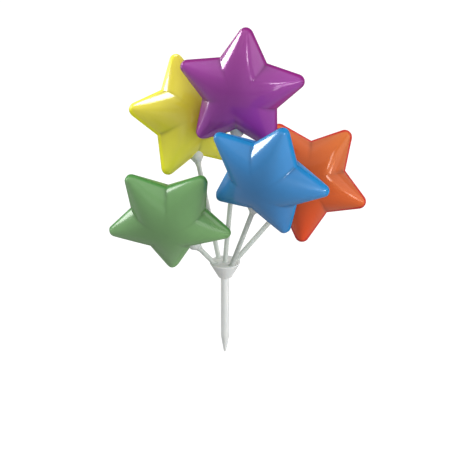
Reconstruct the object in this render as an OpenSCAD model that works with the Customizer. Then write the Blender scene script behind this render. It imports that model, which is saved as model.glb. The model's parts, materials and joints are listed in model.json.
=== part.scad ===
// Cake topper: five hollow, puffed stars that swivel on thin stems, which fan out of one hub on a pick.
// Millimetres, +Z up. The origin is on the pick's axis, where its shank leaves the underside of the hub.
// The faces of the stars look towards -Y.

/* [Stars] */
// Distance from the centre of a star to the end of an arm
star_reach = 24; // [20:0.5:28]
// Distance of a notch between two arms from the centre, as a share of the reach
notch_share = 0.61; // [0.56:0.01:0.66]
// Radius of the rounded end of an arm
tip_r = 2.8; // [2:0.1:3.4]
// Height of an arm's ridge above the middle plane, as a share of the arm's half width
puff_share = 0.92; // [0.8:0.02:1]
// Height at which the crown limits the ridges of the arms
crown_h = 11.2; // [10:0.1:12]
// Wall of the two half shells
shell_wall = 1; // [0.8:0.1:1.3]

/* [Stems] */
// Diameter of a stem
stem_d = 1.8; // [1.4:0.1:2.2]
// Depth of a stem's foot in the hub, along the stem
stem_seat_l = 2.8; // [2:0.1:3]
// Diameter of the head that keeps a star on its stem
stem_head_d = 3.2; // [2.6:0.1:3.6]
// Height of that head
stem_head_h = 1.2; // [0.8:0.1:2]
// Diameter of the shoulder that a star's collar stands on
shoulder_d = 2.6; // [2.4:0.1:2.8]
// Length of the shoulder's taper
shoulder_l = 1.6; // [1:0.1:3]

/* [Collars] */
// Diameter of a collar where it fills the notch
collar_d = 5; // [4.6:0.1:5.4]
// Diameter of a collar's lower end
collar_foot_d = 2.9; // [2.7:0.1:3.4]
// Length of a collar's taper, below its full diameter
collar_taper_l = 1.7; // [1:0.1:3]
// Length of the full diameter that shows below the notch
collar_drop = 1.3; // [1.2:0.1:2]
// Height of a collar's flange above the notch
flange_rise = 3.1; // [3:0.1:3.6]
// Diameter of the flange, which the two shells hold between them
flange_d = 6.4; // [6:0.1:6.8]
// Thickness of the flange
flange_t = 1; // [0.6:0.1:1.4]

/* [Yellow star] */
// Length of the stem from the top of the hub to the notch
yellow_stem_l = 40.5; // [39:0.5:42]
// Compass direction in which the stem leans, from +X towards +Y
yellow_heading = 124; // [120:1:128]
// Lean of the stem from the vertical
yellow_lean = 22; // [20:0.5:24]
// Direction that the face is turned to, from -Y towards +X
yellow_turn = 27; // [20:1:30]

/* [Orange star] */
// Length of the stem from the top of the hub to the notch
orange_stem_l = 26.5; // [25:0.5:30]
// Compass direction in which the stem leans, from +X towards +Y
orange_heading = 19.5; // [16:0.5:24]
// Lean of the stem from the vertical
orange_lean = 44.5; // [42:0.5:46]
// Direction that the face is turned to, from -Y towards +X
orange_turn = -11; // [-20:1:0]

/* [Purple star] */
// Length of the stem from the top of the hub to the notch
purple_stem_l = 53; // [52:0.5:60]
// Compass direction in which the stem leans, from +X towards +Y
purple_heading = 15; // [5:1:25]
// Lean of the stem from the vertical
purple_lean = 5; // [4:0.5:7]
// Direction that the face is turned to, from -Y towards +X
purple_turn = -10; // [-12:1:0]

/* [Blue star] */
// Length of the stem from the top of the hub to the notch
blue_stem_l = 33; // [31:0.5:35]
// Compass direction in which the stem leans, from +X towards +Y
blue_heading = -55; // [-58:1:-50]
// Lean of the stem from the vertical
blue_lean = 26.5; // [25:0.5:30]
// Direction that the face is turned to, from -Y towards +X
blue_turn = -21; // [-22:1:-10]

/* [Green star] */
// Length of the stem from the top of the hub to the notch
green_stem_l = 12.5; // [11.5:0.5:14]
// Compass direction in which the stem leans, from +X towards +Y
green_heading = 197; // [194:1:200]
// Lean of the stem from the vertical
green_lean = 40; // [38:0.5:42]
// Direction that the face is turned to, from -Y towards +X
green_turn = -10; // [-14:1:-4]

/* [Hub] */
// Diameter of the hub's upper rim
hub_rim_d = 12; // [11.8:0.1:14]
// Diameter of the hub's underside
hub_foot_d = 4.8; // [4.4:0.1:6]
// Height of the hub
hub_h = 6.5; // [6.4:0.1:9]
// Radius of the ring on which four of the stems leave the hub's top
stem_ring_r = 4.4; // [4.3:0.05:4.6]
// Rounding of the rim
hub_rim_round = 0.5; // [0.2:0.1:0.8]

/* [Pick] */
// Diameter of the pick's round shank
pick_d = 3.2; // [2.6:0.1:4]
// Length of the round shank below the hub
pick_shank_l = 25; // [15:1:40]
// Length of the pick's point
pick_point_l = 7; // [4:0.5:12]
// Diameter of the blunt end of the point
pick_tip_d = 0.8; // [0.6:0.1:1.2]
// Diameter of the tenon that the hub is pressed on
tenon_d = 2.2; // [1.8:0.1:2.4]
// Length of the tenon
tenon_l = 2.9; // [2:0.1:3]

/* [Fits] */
// Gap all round between a stem and the collar that turns on it
turn_gap = 0.05; // [0.03:0.01:0.08]
// Gap at each end of a collar, below the head and above the shoulder
end_gap = 0.1; // [0.05:0.01:0.2]
// Gap all round in a glued or pressed seat
bond_gap = 0.02; // [0.01:0.01:0.04]

/* [Hidden] */
$fn = 48;

// Heading, lean, stem length, turn, foot radius on the hub, and colour of each star
YELLOW = [yellow_heading, yellow_lean, yellow_stem_l, yellow_turn, stem_ring_r, "gold"];
ORANGE = [orange_heading, orange_lean, orange_stem_l, orange_turn, stem_ring_r, "orangered"];
PURPLE = [purple_heading, purple_lean, purple_stem_l, purple_turn, 0, "darkorchid"];
BLUE = [blue_heading, blue_lean, blue_stem_l, blue_turn, stem_ring_r, "dodgerblue"];
GREEN = [green_heading, green_lean, green_stem_l, green_turn, stem_ring_r, "mediumseagreen"];
STARS = [YELLOW, ORANGE, PURPLE, BLUE, GREEN];
function heading(star) = star[0];
function lean(star) = star[1];
function stem_l(star) = star[2];
function turn(star) = star[3];
function foot_r(star) = star[4];
function paint(star) = star[5];
white_plastic = "whitesmoke";

// The overrun of a cut past the face that it opens
cut = 1;

// A star's outline has straight edges: each runs from a notch to the round end of an arm, tangent to it
arms = 5;
half_step = 180 / arms;
notch_r = star_reach * notch_share;
notch_along = notch_r * cos(half_step);
notch_out = notch_r * sin(half_step);
tip_centre = star_reach - tip_r;
tip_run = tip_centre - notch_along;
edge_angle = acos(tip_r / norm([notch_out, tip_run])) - atan2(tip_run, notch_out);
edge_apex = notch_along + notch_out / tan(edge_angle);

// The surface of a star: powers for the flanks of an arm, the creases between arms and the blend with the
// crown, the distance at which the crown's curve would reach the middle plane, and the rounding of its top
flank_power = 0.85;
crease_power = 10;
crown_power = 4;
crown_reach_share = 1.08;
crown_reach = crown_reach_share * star_reach;
centre_round_share = 0.15;
centre_round = centre_round_share * star_reach;

// The grid of a shell: points along an edge, steps round an arm's end, rings of the outside and the inside
edge_points = 4;
tip_steps = 4;
outer_rings = 9;
inner_rings = 4;

// Posts inside the shells, one behind each arm, with a pin in front and a socket behind
post_ring_share = 0.21;
post_ring_r = post_ring_share * star_reach;
post_d = 2.6;
pin_d = 1.3;
pin_l = 2.5;
post_sink_share = 0.4;

// A half ring in each shell holds the collar's flange, and its foot is sunk to the middle of the shell's wall
ring_wall = 0.8;
ring_lip = 0.8;
ring_d = flange_d + 2 * ring_wall;
ring_bore_d = stem_head_d + ring_wall;
ring_top = flange_rise + flange_t + ring_lip;

collar_bottom = -collar_drop - collar_taper_l;
collar_top = flange_rise + flange_t;

// The steps of the curve round the hub's rim and of the curve round the pick's blunt end
rim_steps = 8;
tip_end_steps = 5;

// Half the width of an arm at distance s from the centre, for the outline drawn in by inset
function edge_width(s, inset) = (edge_apex - inset / sin(edge_angle) - s) * tan(edge_angle);
function end_width(s, inset) = sqrt(max(0, pow(tip_r - inset, 2) - pow(s - tip_centre, 2)));
function arm_width(s, inset) =
    s < tip_centre + (tip_r - inset) * sin(edge_angle) ? edge_width(s, inset) : end_width(s, inset);

// Distance of a notch from the centre, for the outline drawn in by inset
function in_notch_r(inset) = notch_r - inset / sin(half_step + edge_angle);

// How deep a point lies within the circle through the notches: 1 at its centre, 0 on it and beyond
function depth(r, inset) = max(0, 1 - pow(r / in_notch_r(inset), 2));

// Angle between a point and the middle of the nearest arm. It bends sharply halfway between two arms, which
// makes the crease, and the bend softens towards the centre.
function arm_angle(x, z, deep) =
    let (keen = 1 - pow(deep, crease_power))
    acos(max(-1, min(1, keen * cos(arms * atan2(x, z))))) / arms;

// Height of an arm at s along it and t across it: a ridge with flanks that round over to the seam
function ridge_height(s, t, inset) =
    let (w = arm_width(s, inset))
    w <= t ? 0 : puff_share * w * pow(1 - pow(t / w, 2), flank_power);
function crown_height(r, inset) = (crown_h - inset) * sqrt(1 - pow(r / crown_reach, 2));

// Half the thickness of a star: the lower of the arm's height and the crown's, blended where they cross
function half_thickness(x, z, inset) =
    let (r = norm([x, z]))
    let (deep = depth(r, inset))
    let (a = arm_angle(x, z, deep))
    let (ridge = ridge_height(norm([r * cos(a), centre_round * pow(deep, 2)]), r * sin(a), inset))
    let (crown = crown_height(r, inset))
    ridge * crown / pow(pow(ridge, crown_power) + pow(crown, crown_power), 1 / crown_power);

// The height above the notch at which the middle of the wall is y away from the shells' plane
function wall_rise(y, low = 0, high = notch_r / 2, turns = 24) =
    let (middle = (low + high) / 2)
    turns == 0 ? middle
    : half_thickness(0, middle - notch_r, shell_wall / 2) < y ? wall_rise(y, middle, high, turns - 1)
    : wall_rise(y, low, middle, turns - 1);
ring_bottom = wall_rise(ring_d / 2);

// The outline drawn in by inset, clockwise from the notch on the left of the top arm, as [x, z]
function arm_outline(inset) =
    let (end_r = tip_r - inset)
    let (notch = [in_notch_r(inset) * cos(half_step), -in_notch_r(inset) * sin(half_step)])
    let (tangent = [tip_centre + end_r * sin(edge_angle), -end_r * cos(edge_angle)])
    let (sweep = 180 - 2 * edge_angle)
    concat(
        [for (i = [0:edge_points - 1]) notch + (tangent - notch) * i / edge_points],
        [for (i = [0:tip_steps])
            let (b = sweep * (i / tip_steps - 1 / 2))
            [tip_centre + end_r * cos(b), end_r * sin(b)]],
        [for (i = [edge_points - 1:-1:1])
            let (p = notch + (tangent - notch) * i / edge_points)
            [p[0], -p[1]]]
    );
function star_outline(inset) = [
    for (k = [0:arms - 1])
        let (a = 90 - 2 * half_step * k)
        for (p = arm_outline(inset)) [p[0] * cos(a) + p[1] * sin(a), p[0] * sin(a) - p[1] * cos(a)]
];

// One ring of the domed surface: the outline shrunk towards the centre, raised by the half thickness
function dome_ring(outline, i, rings, inset) = [
    for (p = outline)
        let (q = p * sin(90 * i / rings))
        [q[0], i == rings ? 0 : -half_thickness(q[0], q[1], inset), q[1]]
];

// A hollow half star with its open side on the plane y = 0 and its crown towards -Y
module half_star() {
    outer = star_outline(0);
    inner = star_outline(shell_wall);
    n = len(outer);
    rings = outer_rings + inner_rings;
    points = concat(
        [[0, -half_thickness(0, 0, 0), 0]],
        [for (i = [1:outer_rings]) each dome_ring(outer, i, outer_rings, 0)],
        [for (i = [inner_rings:-1:1]) each dome_ring(inner, i, inner_rings, shell_wall)],
        [[0, -half_thickness(0, 0, shell_wall), 0]]
    );
    last = len(points) - 1;
    faces = concat(
        [for (i = [0:n - 1]) [0, 1 + i, 1 + (i + 1) % n]],
        [for (k = [0:rings - 2], i = [0:n - 1])
            let (a = 1 + k * n + i)
            let (b = 1 + k * n + (i + 1) % n)
            each [[a, a + n, b], [b, a + n, b + n]]],
        [for (i = [0:n - 1]) [last, last - n + (i + 1) % n, last - n + i]]
    );
    polyhedron(points, faces, convexity = 8);
}

// Where the posts stand, in the star's own plane
module at_posts() {
    for (k = [0:arms - 1])
        rotate([0, 2 * half_step * k, 0])
            translate([0, 0, post_ring_r])
                children();
}

// A post from the shell's inner wall to the plane y = 0
module post() {
    post_l = half_thickness(0, post_ring_r, shell_wall) + post_sink_share * shell_wall;
    translate([0, -post_l, 0])
        rotate([-90, 0, 0])
            cylinder(d = post_d, h = post_l);
}

// Half a ring round the stem, on the shell's side of the plane y = 0; z is measured from the notch
module flange_holder() {
    intersection() {
        translate([0, 0, ring_bottom])
            cylinder(d = ring_d, h = ring_top - ring_bottom);
        translate([-ring_d / 2, -ring_d, ring_bottom])
            cube([ring_d, ring_d, ring_top - ring_bottom]);
    }
}

// The room that the collar and the stem's head take out of the two shells
module neck_cut() {
    translate([0, 0, collar_bottom])
        cylinder(d = collar_d + 2 * bond_gap, h = flange_rise - collar_bottom);
    translate([0, 0, flange_rise - bond_gap])
        cylinder(d = flange_d + 2 * bond_gap, h = flange_t + 2 * bond_gap);
    translate([0, 0, flange_rise])
        cylinder(d = ring_bore_d, h = ring_top - flange_rise + cut);
}

// A half star with its posts and holder, its notch at the origin and the stem's axis along z
module fitted_half_star() {
    difference() {
        union() {
            translate([0, 0, notch_r]) {
                half_star();
                at_posts()
                    post();
            }
            flange_holder();
        }
        neck_cut();
    }
}

// The stem's frame: its foot on the hub's top, its axis along z
module on_stem(star) {
    translate([foot_r(star) * cos(heading(star)), foot_r(star) * sin(heading(star)), hub_h])
        rotate([0, 0, heading(star)])
            rotate([0, lean(star), 0])
                children();
}

// The star's frame: its lowest notch at the origin, its face turned as the star stands
module on_star(star) {
    on_stem(star)
        rotate([0, 0, turn(star) - heading(star)])
            translate([0, 0, stem_l(star)])
                children();
}

module front_shell(star) {
    color(paint(star))
        on_star(star) {
            fitted_half_star();
            translate([0, 0, notch_r])
                at_posts()
                    rotate([-90, 0, 0])
                        translate([0, 0, -pin_l])
                            cylinder(d = pin_d, h = 2 * pin_l);
        }
}

module back_shell(star) {
    color(paint(star))
        on_star(star)
            difference() {
                mirror([0, 1, 0])
                    fitted_half_star();
                translate([0, 0, notch_r])
                    at_posts()
                        rotate([-90, 0, 0])
                            translate([0, 0, -cut])
                                cylinder(d = pin_d + 2 * bond_gap, h = cut + pin_l + pin_d / 2);
            }
}

// The bush in the notch: a flared foot outside, and a flange between the shells
module collar(star) {
    color(white_plastic)
        on_star(star)
            difference() {
                union() {
                    translate([0, 0, collar_bottom])
                        cylinder(d1 = collar_foot_d, d2 = collar_d, h = collar_taper_l);
                    translate([0, 0, -collar_drop])
                        cylinder(d = collar_d, h = collar_drop + collar_top);
                    translate([0, 0, flange_rise])
                        cylinder(d = flange_d, h = flange_t);
                }
                translate([0, 0, collar_bottom - cut])
                    cylinder(d = stem_d + 2 * turn_gap, h = collar_top - collar_bottom + 2 * cut);
            }
}

// A straight rod with a shoulder below the collar and a head above it
module stem(star) {
    shoulder_top = stem_l(star) + collar_bottom - end_gap;
    head_bottom = stem_l(star) + collar_top + end_gap;
    color(white_plastic)
        on_stem(star) {
            translate([0, 0, -stem_seat_l])
                cylinder(d = stem_d, h = stem_seat_l + head_bottom + stem_head_h / 2);
            translate([0, 0, shoulder_top - shoulder_l])
                cylinder(d1 = stem_d, d2 = shoulder_d, h = shoulder_l);
            translate([0, 0, head_bottom])
                cylinder(d = stem_head_d, h = stem_head_h);
        }
}

// An upturned cone with a slanted socket for each stem and a blind bore for the pick's tenon
module hub() {
    rim_r = hub_rim_d / 2;
    side_lean = atan2(rim_r - hub_foot_d / 2, hub_h);
    color(white_plastic)
        difference() {
            rotate_extrude()
                polygon(concat(
                    [[0, 0], [hub_foot_d / 2, 0]],
                    [for (i = [0:rim_steps])
                        let (a = (90 + side_lean) * i / rim_steps - side_lean)
                        [rim_r - hub_rim_round * (1 - cos(a)), hub_h - hub_rim_round * (1 - sin(a))]],
                    [[0, hub_h]]
                ));
            for (star = STARS)
                on_stem(star)
                    translate([0, 0, -stem_seat_l - bond_gap])
                        cylinder(d = stem_d + 2 * bond_gap, h = stem_seat_l + hub_rim_d);
            translate([0, 0, -cut])
                cylinder(d = tenon_d + 2 * bond_gap, h = cut + tenon_l + bond_gap);
        }
}

// A round spike: a tenon in the hub, a shank, and a blunt point
module pick() {
    color(white_plastic) {
        cylinder(d = tenon_d, h = tenon_l);
        translate([0, 0, -pick_shank_l])
            cylinder(d = pick_d, h = pick_shank_l);
        translate([0, 0, -pick_shank_l - pick_point_l])
            rotate_extrude()
                polygon(concat(
                    [for (i = [0:tip_end_steps])
                        let (a = 90 * i / tip_end_steps - 90)
                        [pick_tip_d / 2 * cos(a), pick_tip_d / 2 * (1 + sin(a))]],
                    [[pick_d / 2, pick_point_l], [0, pick_point_l]]
                ));
    }
}

pick();
hub();
stem(YELLOW);  // yellow_stem
collar(YELLOW);  // yellow_collar
front_shell(YELLOW);  // yellow_front_shell
back_shell(YELLOW);  // yellow_back_shell
stem(ORANGE);  // orange_stem
collar(ORANGE);  // orange_collar
front_shell(ORANGE);  // orange_front_shell
back_shell(ORANGE);  // orange_back_shell
stem(PURPLE);  // purple_stem
collar(PURPLE);  // purple_collar
front_shell(PURPLE);  // purple_front_shell
back_shell(PURPLE);  // purple_back_shell
stem(BLUE);  // blue_stem
collar(BLUE);  // blue_collar
front_shell(BLUE);  // blue_front_shell
back_shell(BLUE);  // blue_back_shell
stem(GREEN);  // green_stem
collar(GREEN);  // green_collar
front_shell(GREEN);  // green_front_shell
back_shell(GREEN);  // green_back_shell
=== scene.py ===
# %% [markdown]
# A cake topper: five puffed plastic stars that turn on thin white stems, which fan out of a small hub on a
# pick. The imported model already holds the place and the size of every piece, so this lesson only dresses it.
# Each moulded piece gets a finer surface, worked out from a formula on a grid, and a finish of its own.
# Nothing is moved: a new piece is made in the same frame, where the piece that it stands for already is.

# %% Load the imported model
import json
import math

import bpy
import numpy as np
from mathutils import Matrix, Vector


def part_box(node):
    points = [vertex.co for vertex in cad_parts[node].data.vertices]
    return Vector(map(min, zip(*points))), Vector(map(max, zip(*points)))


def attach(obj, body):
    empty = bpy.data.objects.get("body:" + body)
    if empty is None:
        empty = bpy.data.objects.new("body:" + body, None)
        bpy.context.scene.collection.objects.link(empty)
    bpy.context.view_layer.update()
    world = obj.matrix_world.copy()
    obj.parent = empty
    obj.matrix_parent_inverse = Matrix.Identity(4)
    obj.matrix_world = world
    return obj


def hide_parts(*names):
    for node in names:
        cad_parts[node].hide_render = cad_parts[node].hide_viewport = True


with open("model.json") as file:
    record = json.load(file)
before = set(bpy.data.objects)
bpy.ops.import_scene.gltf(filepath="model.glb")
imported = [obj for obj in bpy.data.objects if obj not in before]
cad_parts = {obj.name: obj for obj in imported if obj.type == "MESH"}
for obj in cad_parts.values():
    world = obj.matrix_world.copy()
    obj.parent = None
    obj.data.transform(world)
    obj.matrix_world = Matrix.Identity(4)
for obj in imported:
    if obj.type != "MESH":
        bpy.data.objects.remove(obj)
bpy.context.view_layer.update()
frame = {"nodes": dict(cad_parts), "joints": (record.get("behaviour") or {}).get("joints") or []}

MM = 0.001
TINY = 1e-9
COLOURS = ("yellow", "orange", "purple", "blue", "green")

# %% [markdown]
# Every solid here is a stack of closed rings of points. A turned piece, such as a stem, is such a stack, and
# so is a hollow half star: its rings grow from the crown to the seam and shrink again along the inside of the
# wall. One function can therefore close them all. Building the faces from array indices is quicker than
# adding them one by one, and it leaves no seam or open pole.

# %% Rings of points into a closed mesh
def ring_faces(rows, columns, looped):
    """Quads between neighbouring rings, and at each end a fan of triangles to a pole, or a last band of quads
    if looped."""
    row, column = np.meshgrid(np.arange(rows - 1 + looped), np.arange(columns), indexing="ij")
    beside = (column + 1) % columns
    below = (row + 1) % rows
    quads = np.stack([row * columns + column, below * columns + column,
                      below * columns + beside, row * columns + beside], -1).reshape(-1, 4)
    if looped:
        return quads, np.zeros((0, 3), int)
    around = np.arange(columns)
    first_pole, last_pole = rows * columns, rows * columns + 1
    last_ring = (rows - 1) * columns
    after = (around + 1) % columns
    first_fan = np.stack([np.full(columns, first_pole), around, after], -1)
    last_fan = np.stack([np.full(columns, last_pole), last_ring + after, last_ring + around], -1)
    return quads, np.concatenate([first_fan, last_fan])


def enclosed_volume(points, quads, triangles):
    """Sum of the signed tetrahedra from the origin to each face: above zero when the faces point outwards."""
    halves = np.concatenate([triangles, quads[:, [0, 1, 2]], quads[:, [0, 2, 3]]])
    a, b, c = points[halves[:, 0]], points[halves[:, 1]], points[halves[:, 2]]
    return float(np.einsum("ij,ij->i", a, np.cross(b, c)).sum() / 6)


def ring_mesh(name, rings, looped=False):
    """A smooth closed mesh from an array of rings, shaped (rows, columns, 3). Each end ring gets a pole at
    its mean."""
    rows, columns = rings.shape[:2]
    poles = np.zeros((0, 3)) if looped else np.stack([rings[0].mean(0), rings[-1].mean(0)])
    points = np.concatenate([rings.reshape(-1, 3), poles])
    quads, triangles = ring_faces(rows, columns, looped)
    if enclosed_volume(points, quads, triangles) < 0:
        quads, triangles = quads[:, ::-1], triangles[:, ::-1]
    corners = np.concatenate([triangles.ravel(), quads.ravel()])
    starts = np.concatenate([3 * np.arange(len(triangles)), triangles.size + 4 * np.arange(len(quads))])
    mesh = bpy.data.meshes.new(name)
    mesh.vertices.add(len(points))
    mesh.vertices.foreach_set("co", points.astype(np.float32).ravel())
    mesh.loops.add(len(corners))
    mesh.loops.foreach_set("vertex_index", corners.astype(np.int32))
    mesh.polygons.add(len(starts))
    mesh.polygons.foreach_set("loop_start", starts.astype(np.int32))
    mesh.update(calc_edges=True)
    mesh.shade_smooth()
    return mesh


# %% [markdown]
# A finished piece is tied to the body that it moves with, and the imported piece that it stands for is hidden.
# A value that varies over the surface, such as how near a point is to the seam, is stored on the mesh as an
# attribute, which the finishes read later.

# %% A mesh into a piece of the topper
def add_piece(mesh, body, node, slot, **attributes):
    """Links the mesh as a piece that rides on body and stands for node, with its named values per point."""
    for title, values in attributes.items():
        layer = mesh.attributes.new(title, "FLOAT", "POINT")
        layer.data.foreach_set("value", values.astype(np.float32).ravel())
    piece = bpy.data.objects.new(mesh.name, mesh)
    bpy.context.scene.collection.objects.link(piece)
    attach(piece, body)
    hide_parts(node)
    return piece


# %% [markdown]
# Each star turns about its stem, and the hinge in the record gives the place of the notch and the direction
# of the stem. What is left to find is which way the face looks. The front and the back shell mirror each
# other, so the line between their middles is square to the face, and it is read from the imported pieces.

# %% Where each star stands
def surface_middle(node):
    """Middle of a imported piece's surface: the mean of its faces, each weighed by its area."""
    faces = frame["nodes"][node].data.polygons
    area = np.zeros(len(faces))
    centre = np.zeros(len(faces) * 3)
    faces.foreach_get("area", area)
    faces.foreach_get("center", centre)
    return area @ centre.reshape(-1, 3) / area.sum()


def star_axes(colour):
    """The notch, and the star's own axes as rows: across, away from the face, and up along the stem."""
    joint = next(j for j in frame["joints"] if j["child"] == colour + "_star")
    notch = np.array(joint["pos_m"])
    up = np.array(joint["axis"])
    away = surface_middle(colour + "_back_shell") - surface_middle(colour + "_front_shell")
    away = away - (away @ up) * up
    away = away / np.linalg.norm(away)
    return notch, np.stack([np.cross(away, up), away, up])


place = {colour: star_axes(colour) for colour in COLOURS}
for colour, (notch, axes) in place.items():
    print(colour, "notch at", (notch / MM).round(1), "mm, face looks along", (-axes[1]).round(2))

# %% [markdown]
# The outline of a star has ten straight edges. Each runs from a notch to the round end of an arm and is
# tangent to it. Its angle follows from the reach, the notches and the radius of the ends, so the star keeps
# its shape when one of them changes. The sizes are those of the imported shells.

# %% Sizes of a star
STAR_REACH = 24 * MM
NOTCH_R = 0.61 * STAR_REACH
TIP_R = 2.8 * MM
WALL = 1 * MM
ARMS = 5

half_step = math.pi / ARMS
notch_along = NOTCH_R * math.cos(half_step)
notch_out = NOTCH_R * math.sin(half_step)
tip_centre = STAR_REACH - TIP_R
tip_run = tip_centre - notch_along
edge_angle = math.acos(TIP_R / math.hypot(notch_out, tip_run)) - math.atan2(tip_run, notch_out)
edge_apex = notch_along + notch_out / math.tan(edge_angle)
edge_length = math.hypot(notch_out - TIP_R * math.cos(edge_angle), tip_run + TIP_R * math.sin(edge_angle))
print(f"the edges lean {math.degrees(edge_angle):.1f} degrees and are {edge_length / MM:.1f} mm long")

# %% [markdown]
# A moulded balloon star looks inflated because each arm is a ridge with rounded flanks, and the five ridges
# run together into one soft crown. Halfway between two arms their flanks meet in a crease, which is sharp at
# the notch and fades towards the middle. The formula works with the angle to the nearest arm. That angle
# turns back sharply halfway between two arms, and the turn is softened the deeper a point lies inside the
# notches. A blend with a low dome then rounds the ridges over, so that the middle has neither peak nor dent.
# A cloth that a simulation blows up would look alike, but a formula gives the same shape every time.

# %% The puffed surface as a formula
PUFF_SHARE = 0.92
FLANK_POWER = 0.85
CREASE_POWER = 10
CROWN_POWER = 4
CROWN_HEIGHT = 11.2 * MM
CROWN_REACH = 1.08 * STAR_REACH
CENTRE_ROUND = 0.15 * STAR_REACH


def notch_distance(inset):
    """Distance of a notch from the centre, for the outline drawn in by inset."""
    return NOTCH_R - inset / math.sin(half_step + edge_angle)


def arm_width(s, inset):
    """Half width of an arm at distance s from the centre: a straight taper that runs into a round end."""
    end_r = TIP_R - inset
    taper = (edge_apex - inset / math.sin(edge_angle) - s) * math.tan(edge_angle)
    round_end = np.sqrt(np.maximum(0, end_r**2 - (s - tip_centre) ** 2))
    return np.where(s < tip_centre + end_r * math.sin(edge_angle), taper, round_end)


def along_and_across(r, turned, inset):
    """A point's place on its nearest arm. Its angle from the arm is a fifth of acos(k cos(5 turned)). There k
    is 1 outside the notches, which keeps the crease sharp, and falls to 0 at the centre."""
    depth = np.clip(1 - (r / notch_distance(inset)) ** 2, 0, 1)
    keen = (1 - depth**CREASE_POWER) * np.cos(ARMS * turned)
    angle = np.arccos(np.clip(keen, -1, 1)) / ARMS
    return np.hypot(r * np.cos(angle), CENTRE_ROUND * depth**2), r * np.sin(angle)


def half_thickness(x, z, inset=0.0):
    """Height of the surface over (x, z), from the centre. An arm's ridge, w (1 - (t/w)^2)^p for half width w
    and distance t across, and a dome are blended as a b / (a^n + b^n)^(1/n), which follows the lower one."""
    r = np.hypot(x, z)
    s, t = along_and_across(r, np.arctan2(x, z), inset)
    w = np.maximum(arm_width(s, inset), TINY)
    ridge = PUFF_SHARE * w * np.maximum(0, 1 - (t / w) ** 2) ** FLANK_POWER
    crown = (CROWN_HEIGHT - inset) * np.sqrt(1 - (r / CROWN_REACH) ** 2)
    return ridge * crown / (ridge**CROWN_POWER + crown**CROWN_POWER) ** (1 / CROWN_POWER)


centre_height = float(half_thickness(np.zeros(1), np.zeros(1))[0])
print(f"a star is {2 * centre_height / MM:.1f} mm thick in the middle")

# %% [markdown]
# The rings of a shell are copies of the outline, drawn in towards the centre. Their points are close
# together near the notches, where the creases run, and near the seam, where the surface turns over quickly.
# Where the collar fills the lowest notch the shell has a round hole, so there the rings stop at the hole.
# A cut by a boolean would do as well, but rings that end on the hole's edge keep the mesh clean.

# %% The outline and the hole for the collar
NECK_R = 2.52 * MM
NOTCH_POINTS = 12
EDGE_POINTS = 18
TIP_POINTS = 14
HOLE_SEARCH_SHARE = 0.6
HALVINGS = 30
near_share = NECK_R / math.sin(half_step + edge_angle) / edge_length


def star_outline(inset):
    """Points clockwise from the notch left of the top arm, as (x, z): each arm's edge, round end and edge."""
    end_r = TIP_R - inset
    start = notch_distance(inset) * np.array([math.cos(half_step), -math.sin(half_step)])
    tangent = np.array([tip_centre + end_r * math.sin(edge_angle), -end_r * math.cos(edge_angle)])
    shares = np.concatenate([np.linspace(0, near_share, NOTCH_POINTS, endpoint=False),
                             np.linspace(near_share, 1, EDGE_POINTS, endpoint=False)])
    edge = start + (tangent - start) * shares[:, None]
    turn = np.linspace(-1, 1, TIP_POINTS + 1) * (math.pi / 2 - edge_angle)
    tip = np.stack([tip_centre + end_r * np.cos(turn), end_r * np.sin(turn)], -1)
    arm = np.concatenate([edge, tip, (edge * [1, -1])[:0:-1]])
    along = math.pi / 2 - 2 * half_step * np.arange(ARMS)[:, None]
    x = arm[:, 0] * np.cos(along) + arm[:, 1] * np.sin(along)
    z = arm[:, 0] * np.sin(along) - arm[:, 1] * np.cos(along)
    return np.stack([x.ravel(), z.ravel()], -1)


def reach_shares(outline, inset):
    """How far each column of a shell runs, as a share: 1 to the seam, or less where it meets the neck's hole.
    The hole is a cylinder about the stem. The share is found by halving the interval that it lies in."""
    x, z = outline.T
    cut = (np.abs(x) < NECK_R - TINY) & (z < 0)
    low, high = np.full(len(x), HOLE_SEARCH_SHARE), np.ones(len(x))
    for _ in range(HALVINGS):
        middle = (low + high) / 2
        outside = (middle * x) ** 2 + half_thickness(middle * x, middle * z, inset) ** 2 > NECK_R**2
        low, high = np.where(outside, middle, low), np.where(outside, high, middle)
    return np.where(cut, low, 1.0), cut


print("points around a shell:", len(star_outline(0)))

# %% [markdown]
# The two halves of a real star are moulded apart and joined at their rims, which leaves a fine groove round
# the edge. The rim of each shell is therefore drawn in a little at the joint. A Solidify modifier could give
# the wall its thickness, but not this groove. The rings run on round the rim instead and back along the
# inside of the wall, so a shell is one closed solid and looks right through the gap at the neck too.

# %% A hollow half star
OUTER_RINGS = 64
INNER_RINGS = 16
SEAM_SHOULDER = 0.1 * MM
SEAM_DEPTH = 0.08 * MM
seam_distance = edge_apex * math.sin(edge_angle)


def dome(rings, inset):
    """Rings from near the centre out to the seam or the hole, sine-spaced, as (x, -height, z)."""
    outline = star_outline(inset)
    limit, cut = reach_shares(outline, inset)
    shares = np.sin(np.linspace(0, math.pi / 2, rings + 1))[1:, None] * limit
    x, z = shares * outline[:, 0], shares * outline[:, 1]
    height = half_thickness(x, z, inset)
    return np.stack([x, -height, z], -1), shares, cut


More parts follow.
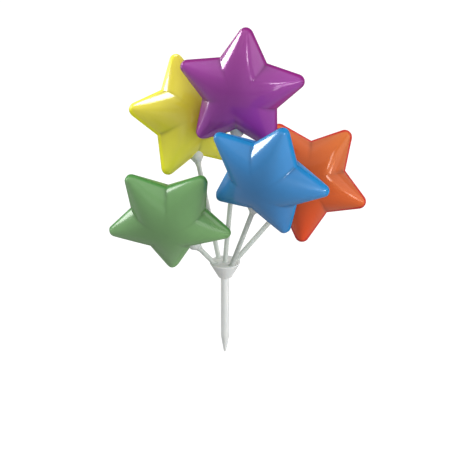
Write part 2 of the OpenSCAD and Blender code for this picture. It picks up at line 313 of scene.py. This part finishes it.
def shell_rings():
    """Outer dome, rim with half of the groove and inner dome, and how far each point is from the seam."""
    outer, shares, cut = dome(OUTER_RINGS, 0.0)
    inner, _, inner_cut = dome(INNER_RINGS, WALL)
    at_seam = ~cut[:, None]
    outer[-1, :, 1] = np.where(cut, outer[-1, :, 1], -SEAM_SHOULDER)
    inner[-1, :, 1] = np.where(inner_cut, inner[-1, :, 1], 0)
    drawn_in = star_outline(SEAM_DEPTH)
    groove = np.stack([drawn_in[:, 0], np.zeros(len(drawn_in)), drawn_in[:, 1]], -1)
    neck_lip = outer[-1] + (inner[-1] - outer[-1]) * SEAM_DEPTH / WALL
    valley = np.where(at_seam, groove, neck_lip)
    rings = np.concatenate([outer, valley[None], inner[::-1]])
    from_seam = np.zeros(rings.shape[:2])
    from_seam[:OUTER_RINGS] = np.hypot((1 - shares) * seam_distance, outer[..., 1])
    from_seam[OUTER_RINGS + 1:] = WALL
    return rings, from_seam


shell, from_seam = shell_rings()
print("rings and columns of a shell:", shell.shape[:2])

# %% [markdown]
# Each shell carries four values for its finish: how far a point is from the seam, whether it lies in a
# crease, how high it is on the star and how far out. The distance from the seam places a painted light, and
# the other three place painted shade. They are worked out once, because the ten shells are alike. The front
# one is turned over for the back, and both are set at the notch along the star's own axes.

# %% Place the ten shells
CREASE_HALF_WIDTH = 0.7 * MM
CREASE_FADE_POWER = 3


def with_poles(values):
    """Adds the mean of the first and the last ring, for the two poles."""
    return np.concatenate([values.ravel(), [values[0].mean(), values[-1].mean()]])


def in_crease(x, z):
    """1 in a crease near its notch, 0 beside it and towards the centre: a bell curve over the distance from
    the line halfway between two arms, times a power of the distance from the centre."""
    r = np.hypot(x, z)
    turned = np.arccos(np.cos(ARMS * np.arctan2(x, z))) / ARMS
    beside = r * np.sin(half_step - turned) / CREASE_HALF_WIDTH
    return np.exp(-(beside**2)) * np.clip(r / NOTCH_R, 0, 1) ** CREASE_FADE_POWER


shell_values = {
    "from_seam": with_poles(from_seam / MM),
    "crease": with_poles(in_crease(shell[..., 0], shell[..., 2])),
    "rise": with_poles((shell[..., 2] / STAR_REACH + 1) / 2),
    "outward_painted_shade": with_poles(np.hypot(shell[..., 0], shell[..., 2]) / STAR_REACH),
}
pieces = {}
for colour in COLOURS:
    notch, axes = place[colour]
    for side, facing in (("front", 1), ("back", -1)):
        own = shell * [1, facing, 1] + [0, 0, NOTCH_R]
        title = f"{colour}_{side}_skin"
        pieces[title] = add_piece(
            ring_mesh(title, own @ axes + notch),
            colour + "_star", f"{colour}_{side}_shell", colour + "_shell", **shell_values)
print("shells:", len(pieces))

# %% [markdown]
# The collars, the stems, the hub and the pick are all turned shapes: a profile carried round an axis. Real
# mouldings have no knife edges, so each corner of a profile is replaced by a short curve before it is turned.
# A Bevel modifier would round the turned mesh as well, but it is simpler to round a profile of a few points.
# A quadratic curve from a point just before the corner to a point just after it is enough at this size.

# %% Profiles with softened corners, carried round an axis
CORNER_STEPS = 5
CORNER_RUN_SHARE = 0.45
DECIMALS = 9


def soften(corners, radius):
    """Rounds every corner but the two ends: (1-t)^2 before + 2t(1-t) corner + t^2 after. A curve starts at
    radius from its corner, or at a share of the run where the run is short."""
    corners = np.array(corners, float)
    middle, before, after = corners[1:-1], corners[:-2], corners[2:]
    back, ahead = before - middle, after - middle
    back_length = np.linalg.norm(back, axis=1, keepdims=True)
    ahead_length = np.linalg.norm(ahead, axis=1, keepdims=True)
    start = middle + back * np.minimum(radius / back_length, CORNER_RUN_SHARE)
    end = middle + ahead * np.minimum(radius / ahead_length, CORNER_RUN_SHARE)
    t = np.linspace(0, 1, CORNER_STEPS)[:, None, None]
    curve = (1 - t) ** 2 * start + 2 * t * (1 - t) * middle + t**2 * end
    return np.concatenate([corners[:1], curve.transpose(1, 0, 2).reshape(-1, 2), corners[-1:]])


def subdivide(profile, step):
    """Adds points on the straight runs of a profile, so that no run is longer than step."""
    runs = np.linalg.norm(np.diff(profile, axis=0), axis=1)
    length = np.concatenate([[0], np.cumsum(runs)])
    extra = np.arange(0, length[-1], step)
    stations = np.unique(np.concatenate([length, extra]).round(DECIMALS))
    return np.stack([np.interp(stations, length, profile[:, k]) for k in range(2)], -1)


def turn_profile(profile, columns):
    """Carries a profile of (radius, height) round the z axis."""
    angle = np.linspace(0, 2 * math.pi, columns, endpoint=False)
    radius, height = profile[:, :1], profile[:, 1:]
    return np.stack([radius * np.cos(angle), radius * np.sin(angle), height + 0 * angle], -1)


# %% [markdown]
# A collar is the white bush that fills the lowest notch of a star. Its flange is held between the two
# shells, its taper shows below the star, and the stem passes through its bore, in which the star turns. As
# the bore goes right through, the profile is a closed loop instead of a line between two poles.

# %% Collars
COLLAR_R = 2.5 * MM
COLLAR_FOOT_R = 1.45 * MM
COLLAR_BOTTOM = -3 * MM
COLLAR_DROP = -1.3 * MM
FLANGE_RISE = 3.1 * MM
FLANGE_TOP = 4.1 * MM
FLANGE_R = 3.2 * MM
BORE_R = 0.95 * MM
COLLAR_EDGE = 0.15 * MM
COLLAR_STEP = 0.3 * MM
COLLAR_COLUMNS = 96

collar_corners = [
    (BORE_R, 0), (BORE_R, COLLAR_BOTTOM), (COLLAR_FOOT_R, COLLAR_BOTTOM), (COLLAR_R, COLLAR_DROP),
    (COLLAR_R, FLANGE_RISE), (FLANGE_R, FLANGE_RISE), (FLANGE_R, FLANGE_TOP), (BORE_R, FLANGE_TOP),
    (BORE_R, 0),
]
collar_profile = subdivide(soften(collar_corners, COLLAR_EDGE), COLLAR_STEP)[:-1]
for colour in COLOURS:
    notch, axes = place[colour]
    own = turn_profile(collar_profile, COLLAR_COLUMNS)
    title = colour + "_bush"
    pieces[title] = add_piece(
        ring_mesh(title, own @ axes + notch, looped=True),
        colour + "_star", colour + "_collar", "collar_white")
print("rings of a collar:", len(collar_profile))

# %% [markdown]
# A stem is a straight white rod. A short shoulder carries the collar, and a head inside the star keeps it on.
# The mould's two halves leave a hair-thin ridge down opposite sides of such a rod. Where the rod leaves the
# hub its foot swells, the way plastic or glue draws up round a joint. The swelling follows a quarter circle
# over the height above the hub's level top, so on a leaning stem it stays level with the hub.

# %% The mould's ridges and the swollen foot
STEM_R = 0.9 * MM
SHOULDER_R = 1.3 * MM
SHOULDER_TOP = -3.1 * MM
SHOULDER_L = 1.6 * MM
HEAD_BOTTOM = 4.2 * MM
HEAD_TOP = 5.4 * MM
HEAD_R = 1.6 * MM
FOOT_FILLET = 0.7 * MM
FOOT_SPREAD_SHARE = 0.6
FOOT_SUNK_SHARE = 0.5
RIDGE_HEIGHT = 0.03 * MM
RIDGE_HALF_WIDTH = 0.14
CORE_R = STEM_R / 2
STEM_EDGE = 0.12 * MM
STEM_STEP = 0.12 * MM
STEM_COLUMNS = 64
hub_low, hub_high = (np.array(corner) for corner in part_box("hub"))
hub_top = hub_high[2]


def node_points(node):
    """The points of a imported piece."""
    data = frame["nodes"][node].data
    points = np.zeros(len(data.vertices) * 3)
    data.vertices.foreach_get("co", points)
    return points.reshape(-1, 3)


def with_ridges(rings):
    """Lifts two opposite lines of a turned piece by a bell curve over the angle, but leaves its core."""
    angle = np.arctan2(rings[..., 1], rings[..., 0])
    lift = RIDGE_HEIGHT * np.exp(-((np.sin(angle) / RIDGE_HALF_WIDTH) ** 2))
    radius = np.hypot(rings[..., 0], rings[..., 1])
    grown = (radius + lift * (radius > CORE_R)) / np.maximum(radius, TINY)
    return rings * np.stack([grown, grown, np.ones_like(grown)], -1)


def with_foot(rings, axes, notch):
    """Swells a stem by a share of r(1 - sqrt(1 - (1 - h/r)^2)) at height h above the hub's top, for h from 0
    to r, and a little way into the hub by as much as at its top."""
    height = (rings @ axes + notch)[..., 2] - hub_top
    u = np.clip(1 - height / FOOT_FILLET, 0, 1) * (height > -FOOT_SUNK_SHARE * FOOT_FILLET)
    growth = FOOT_SPREAD_SHARE * FOOT_FILLET * (1 - np.sqrt(1 - u * u))
    radius = np.hypot(rings[..., 0], rings[..., 1])
    near_foot = rings[..., 2] < SHOULDER_TOP - 2 * SHOULDER_L
    grown = (radius + growth * (radius > CORE_R) * near_foot) / np.maximum(radius, TINY)
    return rings * np.stack([grown, grown, np.ones_like(grown)], -1)


print(f"the hub's level top is {hub_top / MM:.1f} mm up")

# %% [markdown]
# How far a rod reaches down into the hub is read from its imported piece. The profile runs from there over the
# shoulder up to the head. It is turned about the stem's own axis, gets its ridges and foot, and is then set
# at the notch, just as the collar is.

# %% Stems
for colour in COLOURS:
    notch, axes = place[colour]
    foot = float(((node_points(colour + "_stem") - notch) @ axes[2]).min())
    corners = [
        (0, foot), (STEM_R, foot), (STEM_R, SHOULDER_TOP - SHOULDER_L), (SHOULDER_R, SHOULDER_TOP),
        (STEM_R, SHOULDER_TOP), (STEM_R, HEAD_BOTTOM), (HEAD_R, HEAD_BOTTOM), (HEAD_R, HEAD_TOP),
        (0, HEAD_TOP),
    ]
    profile = subdivide(soften(corners, STEM_EDGE), STEM_STEP)[1:-1]
    own = with_foot(with_ridges(turn_profile(profile, STEM_COLUMNS)), axes, notch)
    title = colour + "_rod"
    pieces[title] = add_piece(ring_mesh(title, own @ axes + notch), "stand", colour + "_stem", "stem_white")
    print(title, f"is {(HEAD_TOP - foot) / MM:.1f} mm long, {len(profile)} rings")

# %% [markdown]
# The hub is an upturned cone that the stems are set into, and the pick is a round spike pressed into it from
# below. The hub's level top has a soft rim. The pick has a blunt point and the mould's ridges down its sides.
# Blender's own cones would do for both, but as profiles they share the helpers of the stems.

# %% Hub and pick
hub_radius = (hub_high[0] - hub_low[0]) / 2
HUB_FOOT_R = 2.4 * MM
HUB_RIM_ROUND = 0.6 * MM
HUB_STEP = 0.15 * MM
HUB_COLUMNS = 160
PICK_R = 1.6 * MM
PICK_TIP_R = 0.4 * MM
PICK_POINT_L = 7 * MM
TENON_R = 1.1 * MM
PICK_EDGE = 0.3 * MM
PICK_STEP = 0.2 * MM
PICK_COLUMNS = 96
pick_low, pick_high = (np.array(corner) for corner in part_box("pick"))

hub_corners = [(0, 0), (HUB_FOOT_R, 0), (hub_radius, hub_top), (0, hub_top)]
hub_profile = subdivide(soften(hub_corners, HUB_RIM_ROUND), HUB_STEP)[1:-1]
hub_rings = turn_profile(hub_profile, HUB_COLUMNS)
pieces["hub_body"] = add_piece(ring_mesh("hub_body", hub_rings), "stand", "hub", "hub_white")

point_start = pick_low[2] + PICK_POINT_L
pick_corners = [
    (0, pick_low[2]), (PICK_TIP_R, pick_low[2]), (PICK_R, point_start), (PICK_R, 0),
    (TENON_R, 0), (TENON_R, pick_high[2]), (0, pick_high[2]),
]
pick_profile = subdivide(soften(pick_corners, PICK_EDGE), PICK_STEP)[1:-1]
pick_rings = with_ridges(turn_profile(pick_profile, PICK_COLUMNS))
pieces["pick_spike"] = add_piece(ring_mesh("pick_spike", pick_rings), "stand", "pick", "pick_white")
print("hub rings", len(hub_profile), "and pick rings", len(pick_profile))

# %% [markdown]
# The finishes are networks of shader nodes. Written out node by node they are long and hard to read, so a
# small class wraps a socket, and the usual signs add the Math nodes: 1 - mask reads as it looks.

# %% Shader maths as expressions
class Signal:
    """A number that varies over the surface. Arithmetic on signals adds Math nodes to the same finish."""

    def __init__(self, finish, socket):
        self.finish, self.socket = finish, socket

    def math(self, operation, *operands, clamp=False):
        """Adds one Math node and gives back its result."""
        sockets = dict(enumerate(operands))
        made = self.finish.node("ShaderNodeMath", {"operation": operation, "use_clamp": clamp}, sockets)
        return Signal(self.finish, made.outputs[0])

    def __add__(self, other):
        return self.math("ADD", self, other)

    def __sub__(self, other):
        return self.math("SUBTRACT", self, other)

    def __rsub__(self, other):
        return self.math("SUBTRACT", other, self)

    def __mul__(self, other):
        return self.math("MULTIPLY", self, other)

    __radd__ = __add__
    __rmul__ = __mul__

    def at_least(self, other):
        return self.math("MAXIMUM", self, other)

    def clamped(self):
        return self.math("ADD", self, 0.0, clamp=True)

    def fades_over(self, start, end):
        """1 up to start, 0 from end, with a smooth step between."""
        made = self.finish.node(
            "ShaderNodeMapRange", {"interpolation_type": "SMOOTHSTEP"},
            {"Value": self, "From Min": start, "From Max": end, "To Min": 1.0, "To Max": 0.0})
        return Signal(self.finish, made.outputs[0])


# %% [markdown]
# A finish is one tree of nodes. Any node comes from one method, which takes the node's type, its settings and
# the values of its sockets. The other methods add what the pieces share: a value that the mesh carries,
# cloudy noise, mixing, relief and the plastic itself. Colours go through Mix nodes, as a Math node turns them
# grey.

# %% The nodes of a finish
class Finish:
    """The nodes of one material or world, with the patterns and the mixing that the pieces share."""

    def __init__(self, owner):
        self.material = owner
        owner.use_nodes = True
        self.tree = owner.node_tree
        self.tree.nodes.clear()
        self.position = self.node("ShaderNodeTexCoord").outputs["Object"]

    def node(self, kind, settings=None, sockets=None):
        """Adds a node: its settings first, then a value or a link for each named or numbered socket."""
        made = self.tree.nodes.new(kind)
        for key, value in (settings or {}).items():
            setattr(made, key, value)
        for key, value in (sockets or {}).items():
            source = value.socket if isinstance(value, Signal) else value
            if isinstance(source, bpy.types.NodeSocket):
                self.tree.links.new(source, made.inputs[key])
            else:
                made.inputs[key].default_value = source
        return made

    def attribute(self, name):
        """A value per point that the mesh carries."""
        made = self.node("ShaderNodeAttribute", {"attribute_name": name})
        return Signal(self, made.outputs["Fac"])

    def slant(self):
        """0 where the surface faces the eye and 1 where it is seen edge on. It is for gloss alone."""
        return Signal(self, self.node("ShaderNodeLayerWeight", {}, {"Blend": 0.5}).outputs["Facing"])

    def noise(self, size, detail=2.0, roughness=0.5):
        """Cloudy noise about 0, whose blotches are about size across."""
        made = self.node("ShaderNodeTexNoise", {}, {
            "Vector": self.position, "Scale": 1 / size, "Detail": detail, "Roughness": roughness})
        return Signal(self, made.outputs["Fac"]) - 0.5

    def blend(self, share, first, second):
        """A colour that goes from first to second with share."""
        made = self.node("ShaderNodeMix", {"data_type": "RGBA"}, {0: share, 6: first, 7: second})
        return made.outputs[2]

    def shade(self, colour, level):
        """A colour made lighter or darker by a signal about 1."""
        grey = self.node("ShaderNodeCombineXYZ", {}, {0: level, 1: level, 2: level})
        made = self.node("ShaderNodeMix", {"data_type": "RGBA", "blend_type": "MULTIPLY"},
                         {0: 1.0, 6: colour, 7: grey.outputs[0]})
        return made.outputs[2]

    def bump(self, height, depth):
        """Surface relief of the given depth in metres."""
        made = self.node("ShaderNodeBump", {}, {"Strength": 1.0, "Distance": depth, "Height": height})
        return made.outputs["Normal"]

    def plastic(self, **sockets):
        """A plastic surface whose sockets are given by name."""
        titles = {key: key.replace("_", " ").title().replace("Ior", "IOR") for key in sockets}
        named = {titles[key]: value for key, value in sockets.items()}
        return self.node("ShaderNodeBsdfPrincipled", {}, named).outputs[0]

    def mixed(self, share, first, second):
        """A surface that goes from first to second with share."""
        return self.node("ShaderNodeMixShader", {}, {0: share, 1: first, 2: second}).outputs[0]

    def close(self, surface):
        """Ends the finish with a surface, and gives back the material."""
        self.node("ShaderNodeOutputMaterial", {}, {"Surface": surface})
        return self.material


def linear(code):
    """Hex colour as a screen shows it, into the linear values that shaders use."""
    shown = np.array([int(code[k:k + 2], 16) for k in (0, 2, 4)]) / 255
    values = np.where(shown <= 0.04045, shown / 12.92, ((shown + 0.055) / 1.055) ** 2.4)
    return (*values, 1.0)


# %% [markdown]
# The stars are moulded in bright, slightly clear plastic and come out of the mould glossy. A line of purer
# colour is painted along the seam: painted light, for the light that enters the wall and leaves again at its
# thin edges. The colour of the body drifts a little, because the plastic cools unevenly. Painted shade is
# laid into it as well: the body is darker in the middle of a star and lighter towards the tips, darker in the
# creases, and of another colour at the bottom than at the top, for how the light falls on each part. A skin
# that is close to a mirror lies over a softer gloss, with a faint ripple and a haze of fine rub marks. A
# second and duller surface of the same colour is mixed in along the seam, where the two halves were welded,
# and where the wall is seen at a slant. There a clean gloss would mirror so much that the colour was lost, and
# a rougher one would only spread the glare.

# %% Star plastic
# Body colours at the bottom and the top of a star, blended by height: painted shade, lighter or darker for how
# the light falls on each part.
STAR_LOW_WITH_PAINTED_SHADE = {"yellow": "DDDA43", "orange": "C5391A", "purple": "832A92", "blue": "2570AD", "green": "6D995E"}
STAR_HIGH_WITH_PAINTED_SHADE = {"yellow": "CFBD34", "orange": "B9612B", "purple": "8A3D80", "blue": "3B80B9", "green": "67925C"}
# A painted light: a purer colour along the seam, for the light that leaves the thin edges of the wall.
STAR_SEAM_PAINTED_LIGHT = {"yellow": "E6E22E", "orange": "BC281C", "purple": "801A70", "blue": "1A7AB6", "green": "508A46"}
STAR_GLOSS = {"yellow": "FFFEE8", "orange": "FFB878", "purple": "FFC0FF", "blue": "D0E8FF", "green": "F4FFF4"}
# How far from the seam, in mm, the painted light and the dull surface of the weld reach.
SEAM_WELD_AND_PAINTED_RIM = {
    "yellow": (1.1, 2.2), "orange": (1.1, 2.2), "purple": (1.0, 2.1), "blue": (1.0, 2.0), "green": (0.6, 1.4)}
SLANT = (0.48, 0.78)
GLOSSY_ROUGHNESS, SKIN_SHARE, SKIN_ROUGHNESS = 0.2, 0.5, 0.06
DULL_ROUGHNESS, DULL_GLOSS = 0.4, 0.15
STAR_IOR = 1.5
# Painted shade in the creases.
CREASE_SHADE = 0.4
# Painted shade: the body is darker in the middle of a star and lighter towards the tips.
MIDDLE_PAINTED_SHADE_LEVEL, OUTWARD_PAINTED_SHADE_GAIN = 0.81, 0.34
CLOUD_SIZE, CLOUD_SHADE, CLOUD_HAZE = 9 * MM, 0.12, 0.04
FLOW_SIZE, FLOW_SHADE = 2.2 * MM, 0.04
RUB_SIZE, RUB_HAZE = 0.25 * MM, 0.08
RIPPLE_SIZE, RIPPLE_DEPTH = 2.6 * MM, 0.012 * MM


def star_plastic(colour):
    """Body colour that drifts in soft clouds, with painted shade in the middle, the creases and by height, and
    a painted light along the seam; glossy but for the seam's line and what is seen at a slant.
    """
    finish = Finish(bpy.data.materials.new(colour + "_star_plastic"))
    # The dull surface of the weld, and the painted light along the seam.
    weld_and_painted_rim = finish.attribute("from_seam").fades_over(*SEAM_WELD_AND_PAINTED_RIM[colour])
    clouds = finish.noise(CLOUD_SIZE, detail=3.0)
    flow = finish.noise(FLOW_SIZE)
    rub = finish.noise(RUB_SIZE, detail=4.0, roughness=0.7)
    drift = 1 + clouds * CLOUD_SHADE + flow * FLOW_SHADE
    # Painted shade: darker in the middle of a star, lighter towards the tips.
    outward_painted_shade = MIDDLE_PAINTED_SHADE_LEVEL + finish.attribute("outward_painted_shade") * OUTWARD_PAINTED_SHADE_GAIN
    # Painted shade in the creases.
    painted_crease_shade = 1 - finish.attribute("crease") * CREASE_SHADE
    # Painted shade by height: another colour at the bottom of a star than at the top.
    pigment_with_painted_shade = finish.blend(finish.attribute("rise"), linear(STAR_LOW_WITH_PAINTED_SHADE[colour]), linear(STAR_HIGH_WITH_PAINTED_SHADE[colour]))
    body = finish.shade(pigment_with_painted_shade, drift * outward_painted_shade * painted_crease_shade)
    # Painted light along the seam.
    colour_with_painted_light = finish.blend(weld_and_painted_rim, body, linear(STAR_SEAM_PAINTED_LIGHT[colour]))
    glossy = finish.plastic(
        base_color=colour_with_painted_light,
        roughness=(GLOSSY_ROUGHNESS + rub * RUB_HAZE + clouds * CLOUD_HAZE).clamped(),
        ior=STAR_IOR, specular_tint=linear(STAR_GLOSS[colour]),
        coat_weight=SKIN_SHARE, coat_roughness=SKIN_ROUGHNESS, coat_ior=STAR_IOR,
        normal=finish.bump(finish.noise(RIPPLE_SIZE, detail=1.0), RIPPLE_DEPTH),
    )
    dull = finish.plastic(
        base_color=colour_with_painted_light, roughness=DULL_ROUGHNESS, specular_ior_level=DULL_GLOSS)
    slanting = 1 - finish.slant().fades_over(*SLANT)
    return finish.close(finish.mixed(weld_and_painted_rim.at_least(slanting), glossy, dull))


for colour in COLOURS:
    surface = star_plastic(colour)
    for side in ("front", "back"):
        pieces[f"{colour}_{side}_skin"].data.materials.append(surface)
    print(surface.name, "has", len(surface.node_tree.nodes), "nodes")

# %% [markdown]
# The stand is moulded in white plastic that lets some light through, so its shadows stay pale. Scattering
# just under the surface gives this look and takes far less time than a cloudy volume. The plastic has a
# softer gloss than the stars, and a slight grain.

# %% White plastic of the stand
MILK_SIZE, MILK_SHADE = 4 * MM, 0.08
GRAIN_SIZE, GRAIN_DEPTH, GRAIN_HAZE = 0.3 * MM, 0.006 * MM, 0.12
STAND_IOR = 1.48
LIGHT_SHARE, LIGHT_REACH, REACH_BY_COLOUR = 0.25, 0.8 * MM, (0.8, 0.9, 1.0)


def white_plastic(name, shown, rough):
    """A milky white with soft clouds in it and a low gloss."""
    finish = Finish(bpy.data.materials.new(name))
    clouds = finish.noise(MILK_SIZE, detail=3.0)
    grain = finish.noise(GRAIN_SIZE, detail=3.0, roughness=0.6)
    return finish.close(finish.plastic(
        base_color=finish.shade(linear(shown), 1 + clouds * MILK_SHADE),
        roughness=(rough + grain * GRAIN_HAZE).clamped(),
        ior=STAND_IOR,
        subsurface_weight=LIGHT_SHARE, subsurface_radius=REACH_BY_COLOUR, subsurface_scale=LIGHT_REACH,
        normal=finish.bump(grain, GRAIN_DEPTH),
    ))


# One white plastic in four greys: painted shade, darker on the thin stems and collars and paler on the hub and
# the pick, for how brightly each piece is lit.
stem_surface = white_plastic("stem_plastic", "BCC2BC", 0.3)
collar_surface = white_plastic("collar_plastic", "C6CAC8", 0.35)
hub_surface = white_plastic("hub_plastic", "DADCDA", 0.32)
pick_surface = white_plastic("pick_plastic", "DCDEDC", 0.32)
for colour in COLOURS:
    pieces[colour + "_rod"].data.materials.append(stem_surface)
    pieces[colour + "_bush"].data.materials.append(collar_surface)
pieces["hub_body"].data.materials.append(hub_surface)
pieces["pick_spike"].data.materials.append(pick_surface)
whites = (stem_surface, collar_surface, hub_surface, pick_surface)
print("white plastics:", [surface.name for surface in whites])

# %% [markdown]
# The picture is taken from the front and a little above, from so far away that the stars hardly converge.
# The camera looks along +Y and down, at a point just above the hub. That point is left of the middle of the
# photograph and below it, so the picture plane is shifted by the same share and not the camera turned.

# %% Camera
FRAME_PX = 460
FOCAL_PX = 1570.7
AIM_PX = (225, 266)
AIM = np.array([0, 0, 4.6 * MM])
CAMERA_DISTANCE = 0.6
CAMERA_RISE = math.radians(24.767)
NEAR_CLIP = 0.01
SENSOR_WIDTH = 36

camera_data = bpy.data.cameras.new("camera")
camera_data.sensor_width = SENSOR_WIDTH
camera_data.lens = FOCAL_PX / FRAME_PX * SENSOR_WIDTH
camera_data.shift_x = (FRAME_PX / 2 - AIM_PX[0]) / FRAME_PX
camera_data.shift_y = (AIM_PX[1] - FRAME_PX / 2) / FRAME_PX
camera_data.clip_start = NEAR_CLIP
camera = bpy.data.objects.new("camera", camera_data)
bpy.context.scene.collection.objects.link(camera)
camera.location = AIM + CAMERA_DISTANCE * np.array([0, -math.cos(CAMERA_RISE), math.sin(CAMERA_RISE)])
camera.rotation_euler = (math.pi / 2 - CAMERA_RISE, 0, 0)
bpy.context.scene.camera = camera
print(f"lens {camera_data.lens:.1f} mm, shift {camera_data.shift_x:.4f}, {camera_data.shift_y:.4f}")

# %% [markdown]
# Glossy plastic shows its lights as much as its colour, so the lamps are of two kinds. The washes give the
# even light and don't show in the gloss: most of it comes from high on the left and from the right, and less
# from the front, so that a flank that faces the camera stays darker than the others. The panels show only in
# the gloss. Three sheets overhead, each wider than the last, make a sheen that fades outwards, and a panel on
# the right gives the flanks on that side a soft glow.

# %% Washes and panels
ROUND_STAR = np.array([0, 0, 50 * MM])
WASH_DISTANCE = 0.8
WASH_SIZE = (0.45, 0.45)
# Degrees right of the camera, degrees above level, and how bright a surface that faces it gets.
WASHES = {
    "left wash": (-100, 5, 0.32),
    "high left wash": (-112, 60, 0.92),
    "right wash": (60, 10, 0.75),
    "front wash": (5, 15, 0.42),
    "back wash": (150, 5, 0.5),
}
# Degrees right, degrees above level, width and height in metres, and how bright its face is.
PANELS = {
    "ceiling middle": (0, 89, (0.8, 0.8), 0.4),
    "ceiling rim": (0, 89, (1.1, 1.1), 0.4),
    "ceiling edge": (0, 89, (1.5, 1.5), 0.4),
    "right panel": (80, 12, (0.7, 0.5), 1.0),
}


def soft_box(name, turn, rise, distance, size, power, glossy, target=ROUND_STAR):
    """A rectangular lamp that looks at the target, from turn degrees right of the camera and rise degrees
    above level. It shows either in the gloss alone or in the colours alone."""
    a, e = math.radians(turn), math.radians(rise)
    towards = np.array([math.sin(a) * math.cos(e), -math.cos(a) * math.cos(e), math.sin(e)])
    data = bpy.data.lights.new(name, "AREA")
    data.shape = "RECTANGLE"
    data.size, data.size_y = size
    data.energy = power
    lamp = bpy.data.objects.new(name, data)
    bpy.context.scene.collection.objects.link(lamp)
    lamp.location = target + distance * towards
    lamp.rotation_euler = (math.radians(90 - rise), 0, a)
    lamp.visible_camera = False
    lamp.visible_diffuse = not glossy
    lamp.visible_glossy = glossy
    return lamp


def face_power(brightness, size):
    """Watts that make a lamp's face as bright as brightness times white."""
    return brightness * math.pi * size[0] * size[1]


def wash_power(level, distance):
    """Watts by which a surface that faces the lamp shows its colour at level times its own brightness."""
    return level * (math.pi * distance) ** 2


for name, (turn, rise, level) in WASHES.items():
    soft_box(name, turn, rise, WASH_DISTANCE, WASH_SIZE, wash_power(level, WASH_DISTANCE), glossy=False)
for name, (turn, rise, size, brightness) in PANELS.items():
    soft_box(name, turn, rise, WASH_DISTANCE, size, face_power(brightness, size), glossy=True)
print("washes:", len(WASHES), "and panels:", len(PANELS))

# %% [markdown]
# The real stars also have a white band down the left flank of an arm, and thin streaks and dots on the right.
# They aren't painted on, because a reflection moves when its star turns. Each star faces another way, so one
# lamp can't draw them in their places on all five. Each star has a few boxes of its own instead, which light
# its two shells alone. Such a box stands where the surface under its streak mirrors the line of sight, and it
# is as wide as that direction swings across the streak.

# %% Boxes that only one star mirrors
# The same four values for each box, with the directions taken from the middle of its star.
STAR_BOXES = {
    "purple": [(-117, 21, (0.19, 0.13), 18), (29, 33, (0.045, 0.05), 16), (28, 8, (0.025, 0.22), 6),
               (34, 14, (0.05, 0.12), 6), (-116, -11, (0.09, 0.12), 10), (-146, 20, (0.06, 0.14), 16)],
    "yellow": [(-112, 23, (0.26, 0.16), 22), (-160, 62, (0.26, 0.24), 13)],
    "blue": [(-119, 15, (0.20, 0.09), 18), (39, 22, (0.08, 0.08), 40), (27, 16, (0.05, 0.10), 14)],
    "green": [(-95, 46, (0.16, 0.08), 9), (-113, 8, (0.20, 0.10), 7)],
    "orange": [(50, 33, (0.04, 0.14), 6), (47, 25, (0.03, 0.03), 18), (60, 11, (0.07, 0.05), 9)],
}
BOX_DISTANCE = 0.45

for colour, boxes in STAR_BOXES.items():
    notch, axes = place[colour]
    middle = notch + NOTCH_R * axes[2]
    shells = bpy.data.collections.new(colour + " shells")
    for side in ("front", "back"):
        shells.objects.link(pieces[f"{colour}_{side}_skin"])
    for turn, rise, size, brightness in boxes:
        power = face_power(brightness, size)
        box = soft_box(colour + " box", turn, rise, BOX_DISTANCE, size, power, glossy=True, target=middle)
        box.light_linking.receiver_collection = shells
print("boxes:", sum(len(boxes) for boxes in STAR_BOXES.values()))

# %% [markdown]
# The topper is shown on white. The world and the floor light it with a soft grey, but the camera sees them
# plain white. The gloss mirrors them at a fifth of the way from that grey to white, so that the stars keep
# their colour up to the outline. The floor is a pale sheet under the tip of the pick. Part of its white is
# given off, so that it stays clean, and the rest is lit, so that it keeps a shadow.

# %% World and floor
WORLD_LIGHT = 0.28
FLOOR_HALF = 4.0
FLOOR_LIGHT = 0.05
FLOOR_SEEN = 0.85
FLOOR_COLOUR = (0.2, 0.2, 0.2, 1.0)
FLOOR_CLOUD_SIZE, FLOOR_CLOUD_SHADE = 0.3, 0.02
MIRRORED_SHARE = 0.2


def seen_level(make, unseen, seen):
    """Wiring for a level: seen by camera and transmission rays, part of the way to it in the gloss, and
    unseen by other rays."""
    path = make("ShaderNodeLightPath")
    looks = make("ShaderNodeMath", {"operation": "MAXIMUM"}, {
        0: path.outputs["Is Camera Ray"], 1: path.outputs["Is Transmission Ray"]})
    mirrors = make("ShaderNodeMath", {"operation": "MULTIPLY"}, {
        0: path.outputs["Is Glossy Ray"], 1: MIRRORED_SHARE})
    shown = make("ShaderNodeMath", {"operation": "MAXIMUM"}, {0: looks.outputs[0], 1: mirrors.outputs[0]})
    level = make("ShaderNodeMapRange", {}, {"Value": shown.outputs[0], "To Min": unseen, "To Max": seen})
    return level.outputs[0]


scene = bpy.context.scene
scene.view_settings.view_transform = "Standard"
scene.world = bpy.data.worlds.new("studio")
studio = Finish(scene.world)
background = studio.node("ShaderNodeBackground", {}, {
    "Color": (1, 1, 1, 1), "Strength": seen_level(studio.node, WORLD_LIGHT, 1.0)})
studio.node("ShaderNodeOutputWorld", {}, {"Surface": background.outputs[0]})

floor_z = pick_low[2]
floor_mesh = bpy.data.meshes.new("floor")
floor_corners = [(x * FLOOR_HALF, y * FLOOR_HALF, floor_z) for x, y in ((-1, -1), (1, -1), (1, 1), (-1, 1))]
floor_mesh.from_pydata(floor_corners, [], [(0, 1, 2, 3)])
floor = bpy.data.objects.new("floor", floor_mesh)
scene.collection.objects.link(floor)
sheet = Finish(bpy.data.materials.new("floor_sheet"))
floor_mesh.materials.append(sheet.close(sheet.plastic(
    base_color=sheet.shade(FLOOR_COLOUR, 1 + sheet.noise(FLOOR_CLOUD_SIZE) * FLOOR_CLOUD_SHADE),
    roughness=0.8,
    emission_color=(1, 1, 1, 1), emission_strength=seen_level(sheet.node, FLOOR_LIGHT, FLOOR_SEEN),
)))
print(f"the floor lies at {floor_z / MM:.1f} mm")
